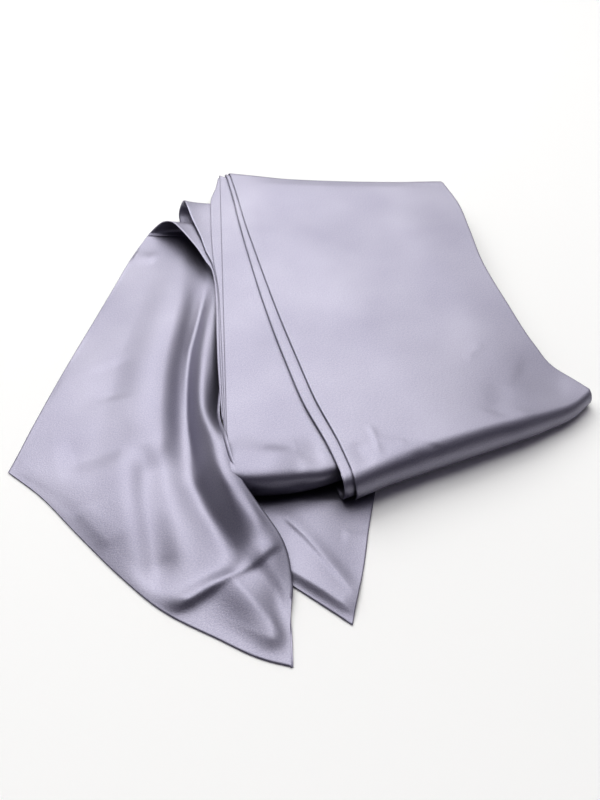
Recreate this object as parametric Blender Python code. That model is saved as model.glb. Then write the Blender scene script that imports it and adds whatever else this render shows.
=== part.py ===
"""A satin evening stole lying folded on a flat surface.

One long strip, doubled lengthwise, is folded to and fro. Its left tail lies spread on the
surface, two loops turn over at the far left, a second panel lies under the broad top panel,
and the right tail comes out from under the pile. Lengths in the tables are millimetres.
+X is to the right, +Y is away from the near side and +Z is up. The origin is on the surface,
under the middle of the footprint.
"""

import math

import bmesh
import bpy
import numpy as np

MM = 0.001

# Driving sizes
CLOTH = 1.2  # one doubled ply of satin, as a wall
GAP = 0.3  # air between one ply and the next
PITCH = CLOTH + GAP
PILE_TOP = 22.0  # upper face of the top panel
SECOND_TOP = 18.4  # upper face of the second panel
LEAF_TOPS = (SECOND_TOP - 3 * PITCH, SECOND_TOP - 2 * PITCH, SECOND_TOP - PITCH)
ON_TAIL = CLOTH + 0.4  # a fold that lies across the right tail starts this high

# The pile is thinner at its near right corner, where fewer plies reach
THIN_CORNER = (183.0, -40.0)
THIN_DROP = 10.5
THIN_REACH = 60.0

# The middle of the finished footprint, which the origin is moved to
FOOTPRINT_MIDDLE = (-1.4, -0.25, 0.0)

SATIN = (0.57, 0.56, 0.65, 1.0)
SATIN_DEEP = (0.47, 0.46, 0.56, 1.0)
SATIN_ROUGHNESS = 0.38
SATIN_METALLIC = 0.25

# Fold lines of the top panel: the outermost points of its far and near rolls
# share across, far x, far y, near x, near y, bottom of the near roll
TOP_FOLDS = (
    (0.00, -69.0, 228.3, 26.0, -126.0, ON_TAIL),
    (0.10, -52.0, 225.0, 42.0, -117.5, ON_TAIL),
    (0.25, -25.0, 220.2, 67.0, -106.0, 0.9),
    (0.50, 20.0, 216.0, 107.0, -88.2, 0.0),
    (0.76, 66.0, 214.5, 148.0, -68.2, 0.0),
    (0.90, 92.0, 214.5, 169.5, -54.5, 0.0),
    (1.00, 109.0, 215.0, 182.6, -41.0, 0.0),
)
FAR_HEADING = (-0.26, 0.966)
NEAR_HEADING = (0.30, -0.954)
FAR_ROLL_BOTTOM = 0.0

# How far the right edge of the top panel is drawn in: share from far to near, amount
RIGHT_WAIST = (
    (0.00, 0.0),
    (0.13, 0.5),
    (0.28, 7.0),
    (0.47, 16.0),
    (0.66, 19.4),
    (0.85, 18.6),
    (0.92, 15.0),
    (0.97, 5.0),
    (1.00, 0.0),
)

# How far the left edge of the top panel bows out: share from far to near, amount
LEFT_BOW = (
    (0.00, 0.0),
    (0.09, 1.2),
    (0.19, 3.2),
    (0.37, 5.0),
    (0.60, 5.9),
    (0.71, 5.3),
    (0.82, 4.3),
    (0.93, 0.4),
    (1.00, -0.5),
)
STRAIGHT = ((0.0, 0.0), (1.0, 0.0))

# How far the under ply shows left of the top ply: share from far to near, amount
UNDER_PLY_SHOWS = ((0.0, 3.3), (0.2, 3.8), (0.5, 7.2), (0.75, 7.8), (0.87, 6.6), (1.0, 7.4))

# Fold lines of the second panel, across: far x, far y, near x, near y, roll bottom
SECOND_FOLDS = (
    (0.00, -76.0, 224.0, -47.0, -120.5, ON_TAIL),
    (0.20, -68.0, 219.5, -30.0, -121.4, ON_TAIL),
    (0.50, -58.0, 215.5, -5.0, -118.5, 2.2),
    (0.75, -51.0, 213.5, 13.0, -113.5, 4.7),
    (1.00, -44.0, 212.0, 30.0, -105.0, 4.7),
)
SECOND_FAR_BOTTOM = SECOND_TOP - 2 * PITCH - CLOTH

# The leaves that show left of the second panel, from the surface, over the far turn and
# back on top: left x, y, z of the outer face, then right x, y, z
INNER_LEAF = (
    (-131.3, 158.6, 0.0, -69.0, 157.0, 0.0),
    (-128.5, 161.4, 2.6, -68.0, 164.5, 1.2),
    (-123.0, 161.0, 8.5, -67.0, 168.5, 5.0),
    (-117.0, 158.5, 14.0, -66.5, 168.0, 9.5),
    (-109.0, 151.5, 18.3, -62.0, 158.0, 13.6),
    (-101.5, 141.0, 19.0, -59.5, 145.0, 13.9),
    (-93.5, 129.0, 17.8, -57.0, 131.0, 13.9),
    (-86.0, 117.0, 16.2, -54.5, 118.0, 13.9),
    (-79.0, 103.0, 14.6, -52.5, 104.0, 13.9),
    (-73.0, 90.0, 14.0, -51.0, 91.0, 13.9),
    (-68.6, 60.0, 13.9, -49.0, 61.0, 13.9),
    (-62.5, -10.0, 13.9, -44.0, -9.0, 13.9),
    (-56.0, -66.0, 13.9, -39.0, -66.0, 13.9),
)
OUTER_LEAF = (
    (-106.5, 176.5, 0.0, -69.0, 176.5, 0.0),
    (-107.8, 183.5, 4.5, -68.5, 184.0, 4.0),
    (-106.0, 187.5, 11.0, -67.5, 188.0, 9.0),
    (-102.5, 184.5, 17.6, -66.0, 184.5, 14.2),
    (-99.0, 173.5, 20.0, -62.0, 174.0, 15.4),
    (-94.3, 158.0, 19.4, -60.0, 158.0, 15.4),
    (-90.3, 147.0, 18.6, -57.8, 147.0, 15.4),
    (-84.5, 131.0, 17.8, -56.0, 131.0, 15.4),
    (-79.5, 114.0, 16.8, -54.0, 114.0, 15.4),
    (-72.6, 95.0, 15.7, -52.0, 95.0, 15.4),
    (-66.8, 62.0, 15.4, -49.0, 62.0, 15.4),
    (-60.7, -10.0, 15.4, -44.0, -10.0, 15.4),
    (-52.4, -92.0, 15.4, -37.0, -92.0, 15.4),
)
MIDDLE_LEAF = (
    (-77.0, 221.0, 16.9, -60.5, 213.0, 16.9),
    (-78.0, 205.0, 16.9, -60.5, 205.0, 16.9),
    (-80.5, 186.0, 17.5, -60.0, 186.0, 16.9),
    (-79.0, 164.0, 17.9, -59.0, 164.0, 16.9),
    (-76.0, 130.0, 17.7, -57.0, 130.0, 16.9),
    (-72.5, 100.0, 17.2, -53.5, 100.0, 16.9),
    (-66.0, 60.0, 16.9, -49.0, 60.0, 16.9),
    (-59.3, -10.0, 16.9, -44.0, -10.0, 16.9),
    (-51.8, -92.0, 16.9, -37.0, -92.0, 16.9),
)
LEAF_STEPS = 26
LEAF_ACROSS = 5

# The hidden layers: one lengthwise line to a row, with the ends of its upper face
# far x, far y, near x, near y, height of the upper face, or None under the top panel, where it
# follows that panel's face at CORE_DEPTH
CORE_LINES = (
    (-61.0, 199.0, -43.0, -104.0, LEAF_TOPS[0] - PITCH),
    (-58.0, 205.0, -34.5, -109.0, LEAF_TOPS[0] - PITCH),
    (-55.0, 205.0, -31.5, -109.0, SECOND_TOP - PITCH),
    (-48.0, 205.0, 5.0, -104.5, SECOND_TOP - PITCH),
    (-40.5, 205.0, 33.0, -96.0, SECOND_TOP - PITCH),
    (-36.5, 205.0, 36.5, -95.5, None),
    (0.0, 204.0, 66.0, -88.5, None),
    (52.0, 202.5, 102.0, -71.5, None),
    (82.0, 202.0, 135.0, -55.5, None),
    (104.0, 202.0, 160.0, -41.0, None),
)
CORE_DEPTH = 2 * PITCH
CORE_END_BULGE = 6.6  # how far the ends round out
CORE_SIDE_BULGE = 1.6  # how far the long sides round out
CORE_LAYERS = 7
CORE_GROOVE = 0.7  # depth of the groove between one layer and the next
# The core rests on the surface between the two middle shares and is raised beyond the outer
# ones, where the rolls and the right tail pass under it
CORE_FOOT = (0.10, 0.14, 0.84, 0.88)
CORE_RAISED = 6.3
CORE_STEPS = 13

# The left tail, from its far end to its hem. The tail lies on the surface at its left edge,
# rises evenly to a broad crown, drops into a valley, climbs to a ridge beside the pile and rolls
# down at its right side.
# left x, left y, right x, right y, height there, outward bow of the row,
# crown at, height, valley at, height, ridge at, height
TAIL_ROWS = (
    (-131.6, 157.9, -69.3, 156.3, 0.0, 0.0, 0.50, 0.0, 0.80, 0.0, 0.92, 0.0),
    (-140.9, 124.9, -68.0, 120.0, 3.5, 0.0, 0.56, 3.4, 0.83, 2.0, 0.92, 3.0),
    (-148.6, 88.0, -64.0, 80.0, 5.0, 0.0, 0.59, 6.4, 0.83, 2.6, 0.92, 4.4),
    (-156.6, 50.0, -60.5, 35.0, 5.0, 0.0, 0.61, 8.2, 0.79, 2.4, 0.87, 7.2),
    (-164.4, 14.0, -59.5, -8.0, 5.0, 0.5, 0.62, 9.2, 0.77, 2.6, 0.87, 11.0),
    (-171.8, -22.0, -59.5, -54.0, 6.5, 1.0, 0.66, 9.6, 0.81, 2.8, 0.91, 14.0),
    (-177.0, -50.0, -52.5, -87.0, 18.9, 2.0, 0.66, 9.6, 0.81, 3.4, 0.94, 19.4),
    (-179.0, -61.0, -47.4, -105.5, 19.2, 3.0, 0.66, 9.6, 0.81, 4.2, 0.94, 20.3),
    (-180.8, -72.0, -41.5, -119.5, 18.1, 5.0, 0.66, 9.4, 0.80, 4.6, 0.94, 20.0),
    (-182.7, -84.0, -32.5, -133.0, 14.4, 7.0, 0.65, 9.2, 0.79, 4.8, 0.94, 17.3),
    (-184.0, -91.0, -17.0, -156.5, 8.0, 10.0, 0.64, 8.6, 0.78, 4.4, 0.94, 11.8),
    (-184.7, -94.8, -12.2, -181.0, 3.8, 12.5, 0.66, 6.6, 0.80, 3.4, 0.93, 7.0),
    (-185.1, -96.8, -12.3, -207.0, 0.8, 14.5, 0.66, 2.8, 0.80, 1.2, 0.92, 1.2),
    (-185.4, -98.0, -11.5, -228.6, 0.0, 15.4, 0.60, 0.0, 0.78, 0.0, 0.92, 0.0),
)
# The bow along a row: share across, share of the bow
ROW_BOW = (
    (0.00, 0.0),
    (0.13, 0.06),
    (0.32, 0.49),
    (0.50, 0.86),
    (0.66, 1.0),
    (0.81, 0.69),
    (0.94, 0.34),
    (1.00, 0.0),
)
# Where the tail's right side turns down: row number, inward x, inward y, height of its foot
TAIL_FEET = {
    8: (1.0, -0.5, 16.4),
    9: (-1.5, 5.5, 3.5),
    10: (-3.0, 3.5, 2.8),
    11: (-1.5, 1.0, 2.5),
}
FOOT_REACH = 0.6  # elsewhere the foot reaches this far out
FOOT_DROP = 0.05  # and this far down
KNEE = 0.3  # how far the turn between the edge and its foot stands out
TAIL_STEPS = 34
TAIL_ACROSS = 20

# The right tail: left x, left y, right x, right y, height of its soft swell
RIGHT_TAIL_ROWS = (
    (-39.0, -97.0, 40.5, -97.0, 0.0),
    (-38.0, -124.0, 35.6, -124.0, 1.4),
    (-33.0, -141.0, 31.8, -144.0, 2.2),
    (-21.0, -160.0, 27.4, -171.0, 1.6),
    (-15.5, -177.3, 20.2, -204.5, 0.0),
)
RIGHT_TAIL_STEPS = 10
RIGHT_TAIL_ACROSS = 8

TOP_LIMB = 6.0  # how far the top plies run on under the pile, past their near roll
SECOND_LIMB = 4.0  # and the second panel
UNDER_PLY_END = 0.985  # share across at which the under ply meets the lengthwise fold
UNDER_PLY_FADE = 0.12  # share across over which the shown edge joins the hidden part

ROLL_STEPS = 8
PANEL_STEPS = 15
PANEL_ACROSS = 12
SECOND_ACROSS = 8
SHARP_ANGLE = 50


def through(table, at):
    """Smooth values at the places asked for, through a table whose first column is the place."""
    table = np.array(table, float)
    places, values = table[:, 0], table[:, 1:]
    at = np.atleast_1d(np.asarray(at, float))
    slopes = np.gradient(values, places, axis=0)
    i = np.clip(np.searchsorted(places, at, side="right") - 1, 0, len(places) - 2)
    span = (places[i + 1] - places[i])[:, None]
    u = (at - places[i])[:, None] / span
    return (
        (2 * u**3 - 3 * u**2 + 1) * values[i]
        + (u**3 - 2 * u**2 + u) * span * slopes[i]
        + (3 * u**2 - 2 * u**3) * values[i + 1]
        + (u**3 - u**2) * span * slopes[i + 1]
    )


def along_rows(rows, count):
    """The rows of a table resampled evenly, as a smooth run from the first to the last."""
    numbered = [(i, *row) for i, row in enumerate(rows)]
    return through(numbered, np.linspace(0, len(rows) - 1, count))


def pile_top(x, y):
    """Height of the top panel's upper face over a point of the plan."""
    away = np.hypot(x - THIN_CORNER[0], y - THIN_CORNER[1]) / THIN_REACH
    return PILE_TOP - THIN_DROP * np.exp(-(away**2))


def normals_of(grid):
    """Unit normals of a grid of points, on the side that faces up where the rows run nearer."""
    down_rows = np.gradient(grid, axis=0)
    across = np.gradient(grid, axis=1)
    normal = np.cross(down_rows, across)
    return normal / np.linalg.norm(normal, axis=2, keepdims=True)


def half_roll(outermost, heading, top, bottom, turn):
    """Points round half a roll, from its top to its bottom, for each place on a fold line."""
    radius = (top - bottom) / 2
    reach = radius * (np.sin(turn) - 1)
    plan = outermost + heading * reach[..., None]
    return np.dstack([plan, (top + bottom) / 2 + radius * np.cos(turn)])


def wrapped(across, folds, top_of, inset, far_bottom, bow, waist, limb):
    """One face of a ply that comes up round its far roll, runs over the pile and turns under
    at its near roll. Inset moves the face in towards the pile, bow moves its left edge out and
    waist draws its right edge in."""
    at = through(folds, across)
    far_heading, near_heading = np.array(FAR_HEADING), np.array(NEAR_HEADING)
    far = at[:, 0:2] - inset * far_heading
    near = at[:, 2:4] - inset * near_heading
    near_bottom = np.maximum(at[:, 4], 0) + inset
    turn = np.linspace(0, math.pi, ROLL_STEPS + 1)[:, None]

    # The near roll takes the pile's height where the roll begins, not at its outermost point
    far_top = top_of(far[:, 0], far[:, 1]) - inset
    outermost_top = top_of(near[:, 0], near[:, 1]) - inset
    near_start = near - near_heading * ((outermost_top - near_bottom) / 2)[:, None]
    near_top = top_of(near_start[:, 0], near_start[:, 1]) - inset

    far_roll = half_roll(far[None], far_heading, far_top[None], far_bottom + inset, turn)
    near_roll = half_roll(near[None], near_heading, near_top[None], near_bottom[None], turn)
    far_roll = far_roll[::-1]

    share = np.linspace(0, 1, PANEL_STEPS + 1)[1:-1, None, None]
    start, end = far_roll[-1][None, :, :2], near_roll[0][None, :, :2]
    plan = start + share * (end - start)
    plan[:, :, 0] -= through(bow, share[:, 0, 0]) * np.clip(1 - across[None], 0, 1) ** 3
    plan[:, :, 0] -= through(waist, share[:, 0, 0]) * across[None] ** 2
    top = np.dstack([plan, top_of(plan[..., 0], plan[..., 1]) - inset])

    under = near_roll[-1:].copy()
    under[..., :2] -= near_heading * limb
    return np.concatenate([far_roll, top, near_roll, under])


def leaf_faces(rows):
    """Outer and inner face of a leaf, given by its two edges."""
    run = along_rows(rows, LEAF_STEPS)
    share = np.linspace(0, 1, LEAF_ACROSS)[None, :, None]
    left, right = run[:, None, 0:3], run[:, None, 3:6]
    outer = left + share * (right - left)
    settle = 1 - (1 - share[..., 0]) ** 3
    outer[..., 2] = left[..., 2] + settle * (right[..., 2] - left[..., 2])
    inner = outer - CLOTH * normals_of(outer)
    outer[..., 2] = np.maximum(outer[..., 2], 0)
    inner[..., 2] = np.maximum(inner[..., 2], 0)
    return outer, inner


def sheet_on_floor(under):
    """Upper and lower face of a sheet, given by the face it lies on."""
    upper = under + CLOTH * normals_of(under)
    upper[..., 2] = np.maximum(upper[..., 2], 0)
    return upper, under


def left_tail_under():
    """Lower face of the left tail: a loft through its rows, with its folds and its foot."""
    run = along_rows(TAIL_ROWS, TAIL_STEPS)
    feet = []
    for i, row in enumerate(TAIL_ROWS):
        plain_foot = (FOOT_REACH, 0.0, max(row[4] - FOOT_DROP, 0))
        feet.append(TAIL_FEET.get(i, plain_foot))
    foot_run = along_rows(feet, TAIL_STEPS)
    share = np.linspace(0, 1, TAIL_ACROSS)
    grid = np.zeros((TAIL_STEPS, TAIL_ACROSS + 2, 3))
    for i, (row, foot) in enumerate(zip(run, foot_run)):
        left, right, right_height, bow = row[0:2], row[2:4], row[4], row[5]
        crown_at, crown, valley_at, valley, ridge_at, ridge = row[6:]
        outward = np.array([right[1] - left[1], left[0] - right[0]])
        outward /= np.linalg.norm(outward)
        profile = (
            (0.0, 0.0),
            (crown_at / 2, crown / 2),
            (crown_at, crown),
            (valley_at, valley),
            (ridge_at, ridge),
            (1.0, right_height),
        )
        grid[i, :TAIL_ACROSS, :2] = left + share[:, None] * (right - left)
        grid[i, :TAIL_ACROSS, :2] += bow * through(ROW_BOW, share) * outward
        grid[i, :TAIL_ACROSS, 2] = through(profile, share)[:, 0]
        grid[i, -1] = (right[0] + foot[0], right[1] + foot[1], foot[2])
        grid[i, -2] = (grid[i, -1] + grid[i, -3]) / 2
        grid[i, -2, :2] += outward[::-1] * np.array([-KNEE, KNEE])
    grid[..., 2] = np.maximum(grid[..., 2], 0)
    return grid


def right_tail_under():
    """Lower face of the right tail, which swells softly between its edges."""
    run = along_rows(RIGHT_TAIL_ROWS, RIGHT_TAIL_STEPS)
    share = np.linspace(0, 1, RIGHT_TAIL_ACROSS)[None, :]
    left, right = run[:, None, 0:2], run[:, None, 2:4]
    plan = left + share[..., None] * (right - left)
    height = np.maximum(run[:, 4:5] * np.sin(math.pi * share) ** 2, 0)
    return np.dstack([plan, height])


def core_faces():
    """Upper and lower face of the hidden layers, before their sides bulge out."""
    lines = np.array([line[:4] for line in CORE_LINES])
    count = len(lines)
    share = np.linspace(0, 1, CORE_STEPS)
    share = np.sort(np.unique(np.concatenate([share, CORE_FOOT])))
    far, near = lines[None, :, 0:2], lines[None, :, 2:4]
    plan = far + share[:, None, None] * (near - far)
    waist = through(RIGHT_WAIST, share)[:, 0]
    weight = np.linspace(0, 1, count) ** 3
    plan[..., 0] -= waist[:, None] * weight[None]
    top = pile_top(plan[..., 0], plan[..., 1]) - CORE_DEPTH
    for i, line in enumerate(CORE_LINES):
        if line[4] is not None:
            top[:, i] = line[4]
    first, start, end, last = CORE_FOOT
    lift = np.interp(share, (0, first, start, end, last, 1), (1, 1, 0, 0, 1, 1))
    lift = np.minimum(CORE_RAISED * lift[:, None], top / 2)
    return np.dstack([plan, top]), np.dstack([plan, lift])


def rim_of(rows, columns):
    """Grid places round the border of a grid, in order, as (row, column)."""
    near = [(rows - 1, j) for j in range(columns)]
    right = [(i, columns - 1) for i in range(rows - 2, -1, -1)]
    far = [(0, j) for j in range(columns - 2, -1, -1)]
    left = [(i, 0) for i in range(1, rows - 1)]
    return near + right + far + left


def grid_quads(rows, columns, start, flip):
    """Faces of a grid whose points begin at a number."""
    quads = []
    for i in range(rows - 1):
        for j in range(columns - 1):
            a = start + i * columns + j
            quad = (a, a + columns, a + columns + 1, a + 1)
            quads.append(quad[::-1] if flip else quad)
    return quads


def closed_body(upper, lower, side_rings=()):
    """Points and faces of a body with an upper face, a lower face and side walls.
    Side rings are extra rings of points round the sides, from the upper face down."""
    rows, columns = upper.shape[:2]
    size = rows * columns
    points = np.concatenate([upper.reshape(-1, 3), lower.reshape(-1, 3)])
    faces = grid_quads(rows, columns, 0, False) + grid_quads(rows, columns, size, True)
    rim = [i * columns + j for i, j in rim_of(rows, columns)]
    rings = [rim]
    for ring in side_rings:
        rings.append(list(range(len(points), len(points) + len(ring))))
        points = np.concatenate([points, ring])
    rings.append([size + i for i in rim])
    for above, below in zip(rings, rings[1:]):
        for k in range(len(rim)):
            n = (k + 1) % len(rim)
            faces.append((above[k], below[k], below[n], above[n]))
    return points, faces


def core_rings(upper, lower):
    """Side rings of the hidden layers: bulged, and grooved between one ply and the next."""
    rows, columns = upper.shape[:2]
    places = rim_of(rows, columns)
    top = np.array([upper[p] for p in places])
    bottom = np.array([lower[p] for p in places])
    along = np.roll(top, -1, axis=0) - np.roll(top, 1, axis=0)
    outward = np.stack([along[:, 1], -along[:, 0]], axis=1)
    outward /= np.linalg.norm(outward, axis=1, keepdims=True)
    at_end = np.array([float(i in (0, rows - 1)) for i, _ in places])
    at_end = (np.roll(at_end, 1) + 2 * at_end + np.roll(at_end, -1)) / 4
    height = (top[:, 2] - bottom[:, 2]) / (PILE_TOP - CORE_DEPTH - CORE_RAISED)
    bulge = CORE_SIDE_BULGE + (CORE_END_BULGE - CORE_SIDE_BULGE) * at_end
    bulge = bulge * np.minimum(height, 1)
    rings = []
    for k in range(1, 2 * CORE_LAYERS):
        share = k / (2 * CORE_LAYERS)
        groove = CORE_GROOVE if k % 2 == 0 else 0
        ring = top + share * (bottom - top)
        reach = bulge * math.sqrt(1 - (2 * share - 1) ** 2) - groove
        ring[:, :2] += outward * reach[:, None]
        rings.append(ring)
    return rings


def satin(name, colour):
    """A satin material: soft gloss over a lilac grey cloth."""
    material = bpy.data.materials.new(name)
    material.use_nodes = True
    shader = material.node_tree.nodes["Principled BSDF"]
    shader.inputs["Base Color"].default_value = colour
    shader.inputs["Roughness"].default_value = SATIN_ROUGHNESS
    shader.inputs["Metallic"].default_value = SATIN_METALLIC
    return material


def add_object(name, points, faces, colour):
    """A named object in metres, its faces turned outward and shaded smooth."""
    mesh = bpy.data.meshes.new(name)
    mesh.from_pydata(((points - np.array(FOOTPRINT_MIDDLE)) * MM).tolist(), [], faces)
    working = bmesh.new()
    working.from_mesh(mesh)
    bmesh.ops.recalc_face_normals(working, faces=working.faces)
    working.to_mesh(mesh)
    working.free()
    mesh.shade_smooth()
    mesh.set_sharp_from_angle(angle=math.radians(SHARP_ANGLE))
    mesh.materials.append(satin(name + "_satin", colour))
    made = bpy.data.objects.new(name, mesh)
    bpy.context.scene.collection.objects.link(made)
    return made


def add_sheet(name, faces_pair, colour=SATIN):
    return add_object(name, *closed_body(*faces_pair), colour)


def top_plies():
    """The broad top panel and the ply under it, which shows along its left edge."""
    across = np.linspace(0, 1, PANEL_ACROSS)
    bend = (FAR_ROLL_BOTTOM, LEFT_BOW, RIGHT_WAIST, TOP_LIMB)
    faces = [wrapped(across, TOP_FOLDS, pile_top, inset, *bend) for inset in (0, CLOTH)]
    add_sheet("top_panel", faces)

    beyond = UNDER_PLY_SHOWS[0][1] / (TOP_FOLDS[-1][1] - TOP_FOLDS[0][1])
    under = np.concatenate([[-beyond], across[:-1], [UNDER_PLY_END]])
    insets = (PITCH, PITCH + CLOTH)
    faces = [wrapped(under, TOP_FOLDS, pile_top, inset, *bend) for inset in insets]
    count = len(faces[0])
    shows = through(UNDER_PLY_SHOWS, np.linspace(0, 1, count))[:, 0]
    wanted = shows - shows[0]
    for face in faces:
        edge = np.clip(1 - (under + beyond) / UNDER_PLY_FADE, 0, 1)
        face[..., 0] -= wanted[:, None] * edge[None]
    add_sheet("top_panel_under_ply", faces)


def second_panel():
    """The panel that shows as a triangle, with its own near roll and its far turn."""

    def flat_top(x, y):
        return np.full(np.shape(x), SECOND_TOP)

    across = np.linspace(0, 1, SECOND_ACROSS)
    bend = (SECOND_FAR_BOTTOM, STRAIGHT, STRAIGHT, SECOND_LIMB)
    faces = [wrapped(across, SECOND_FOLDS, flat_top, inset, *bend) for inset in (0, CLOTH)]
    add_sheet("second_panel", faces)


def main():
    for old in list(bpy.data.objects):
        bpy.data.objects.remove(old)
    top_plies()
    second_panel()
    add_sheet("far_turn_inner", leaf_faces(INNER_LEAF))
    add_sheet("far_turn_outer", leaf_faces(OUTER_LEAF))
    add_sheet("middle_leaf", leaf_faces(MIDDLE_LEAF))
    add_sheet("left_tail", sheet_on_floor(left_tail_under()))
    add_sheet("right_tail", sheet_on_floor(right_tail_under()))
    upper, lower = core_faces()
    rings = core_rings(upper, lower)
    add_object("folded_core", *closed_body(upper, lower, rings), SATIN_DEEP)


main()
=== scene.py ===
# %% [markdown]
# # An evening stole, folded to and fro
#
# The stole is one long strip of satin, doubled lengthwise. It was folded to and fro and then slid
# sideways, so its left tail lies spread out, two turns open at the far left, and the right tail
# comes out from under the pile.
#
# Folded cloth could be made with a cloth simulation, which is slow and hard to steer to one
# particular pile, or sculpted by hand, which is hard to repeat. Here each stretch of cloth is a
# grid of points worked out from small tables, because the tables are the same ones that gave the
# CAD solids. The solids carry the shape and the sizes, and each is covered by a thin shell on the
# same form, with its creases and its sheen.
#
# All tables are in millimetres: +X to the right, +Y away from the near side, +Z up.

import math

import bmesh
import bpy
import numpy as np
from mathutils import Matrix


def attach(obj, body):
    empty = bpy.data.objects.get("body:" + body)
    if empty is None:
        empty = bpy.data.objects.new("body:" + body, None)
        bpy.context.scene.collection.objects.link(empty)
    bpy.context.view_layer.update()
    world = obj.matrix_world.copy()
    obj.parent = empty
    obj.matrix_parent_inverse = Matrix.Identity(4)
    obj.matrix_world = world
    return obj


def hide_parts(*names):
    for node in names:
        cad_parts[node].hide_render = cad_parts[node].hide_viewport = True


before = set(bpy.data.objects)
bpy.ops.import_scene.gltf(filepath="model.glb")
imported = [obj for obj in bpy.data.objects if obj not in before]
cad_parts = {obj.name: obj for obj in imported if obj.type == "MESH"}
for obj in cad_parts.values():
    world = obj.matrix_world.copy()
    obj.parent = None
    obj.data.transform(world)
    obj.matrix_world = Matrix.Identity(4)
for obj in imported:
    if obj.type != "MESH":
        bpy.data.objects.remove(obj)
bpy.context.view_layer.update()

print("nodes:", sorted(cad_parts))

# %% Sizes that every piece shares
MM = 0.001
WALL = 1.2  # one doubled ply, as the CAD wall
AIR = 0.3  # between two plies
PITCH = WALL + AIR
CLOTH = 0.8  # thickness of the shell that is drawn
LYING = (0.45, 0.65)  # how deep a tail's shell is sunk into its CAD wall, and its thickness
PILE_TOP = 22.0  # height of the top panel's upper face
SECOND_TOP = 18.4  # height of the second panel's upper face
ON_TAIL = WALL + 0.4  # height of what lies on the right tail
FOOTPRINT_MIDDLE = np.array([-1.4, -0.25, 0.0])  # the place in the tables of the frame's origin
print(f"plies {PITCH} mm apart, pile {PILE_TOP} mm high")

# %% [markdown]
# ## Tools for cloth
#
# A stretch of cloth is a grid of points: rows run along the strip and columns run across it.
# A few measured rows are enough, because a smooth curve through a table fills in the others. This
# is a Hermite curve: it passes through every value and has no corner there.

# %% Smooth tables


def through(table, at):
    """Smooth values at the places asked for, through a table whose first column is the place."""
    table = np.array(table, float)
    places, values = table[:, 0], table[:, 1:]
    at = np.atleast_1d(np.asarray(at, float))
    slopes = np.gradient(values, places, axis=0)
    i = np.clip(np.searchsorted(places, at, side="right") - 1, 0, len(places) - 2)
    span = (places[i + 1] - places[i])[:, None]
    u = (at - places[i])[:, None] / span
    return (
        (2 * u**3 - 3 * u**2 + 1) * values[i]
        + (u**3 - 2 * u**2 + u) * span * slopes[i]
        + (3 * u**2 - 2 * u**3) * values[i + 1]
        + (u**3 - u**2) * span * slopes[i + 1]
    )


def along_rows(rows, count):
    """The rows of a table resampled evenly, as a smooth run from the first to the last."""
    numbered = [(i, *row) for i, row in enumerate(rows)]
    return through(numbered, np.linspace(0, len(rows) - 1, count))


def smooth(t):
    """A soft step from 0 to 1."""
    t = np.clip(t, 0, 1)
    return t * t * (3 - 2 * t)


print("soft step at a quarter:", smooth(0.25))

# %% Which way a grid faces
TINY = 1e-9  # keeps a division away from zero


def normals_of(grid):
    """Unit normals of a grid of points, on the side that faces up where the rows run nearer."""
    normal = np.cross(np.gradient(grid, axis=0), np.gradient(grid, axis=1))
    return normal / np.maximum(np.linalg.norm(normal, axis=2, keepdims=True), TINY)


# %% [markdown]
# ## Creases
#
# A stroke is one soft crease laid on the grid: a ridge or a trough along a short path,
# steeper on one side than on the other, that dies out at its ends. Each one is set where the
# crease lies on the real stole. Noise could make creases too, but they would lie anywhere. A
# very low ripple is added everywhere, since no real cloth lies quite flat.

# %% One crease
FAR_AWAY = 1e9
END_FADE = 0.22  # share of a crease's length over which each of its ends dies out


def stroke(x, y, path, left, right, height):
    """Height of one crease over points of the plan. left and right are its widths on either side
    of the path, as seen going along it."""
    path = np.array(path, float)
    steps = np.linalg.norm(np.diff(path, axis=0), axis=1)
    best = np.full(x.shape, FAR_AWAY)
    side, along = np.zeros(x.shape), np.zeros(x.shape)
    done = 0.0
    for a, b, length in zip(path, path[1:], steps):
        d = (b - a) / length
        rx, ry = x - a[0], y - a[1]
        t = np.clip(rx * d[0] + ry * d[1], 0, length)
        dx, dy = rx - t * d[0], ry - t * d[1]
        away = np.hypot(dx, dy)
        nearer = away < best
        best = np.where(nearer, away, best)
        side = np.where(nearer, np.sign(d[0] * ry - d[1] * rx), side)
        along = np.where(nearer, done + t, along)
        done += length
    width = np.where(side > 0, left, right)
    share = along / done
    ends = smooth(share / END_FADE) * smooth((1 - share) / END_FADE)
    return height * ends * np.exp(-((best / width) ** 2))


print(f"each end of a crease dies out over {END_FADE:.0%} of its length")

# %% A gentle unevenness
WAVES = 7
WAVE_LENGTHS = (0.6, 1.7)  # shortest and longest wave, as shares of the size asked for


def ripple(x, y, size, height, seed):
    """A gentle uneven surface: a few crossing waves with different lengths and turns."""
    draw = np.random.default_rng(seed)
    total = np.zeros(np.shape(x))
    for _ in range(WAVES):
        turn, phase = draw.uniform(0, 2 * math.pi, 2)
        wave = size * draw.uniform(*WAVE_LENGTHS)
        total += np.sin((x * math.cos(turn) + y * math.sin(turn)) * 2 * math.pi / wave + phase)
    return height * total / WAVES


def all_lift(x, y, strokes, uneven, size, seed):
    """How far the creases and the unevenness together lift each point of the plan."""
    lift = ripple(x, y, size, uneven, seed)
    for path, left, right, height in strokes:
        lift = lift + stroke(x, y, path, left, right, height)
    return lift


print("a ripple is the sum of", WAVES, "waves")

# %% Creases on a grid
FACING_UP = (2, 0.5)  # slope and start of the soft step that lets only upper faces take creases


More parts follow.
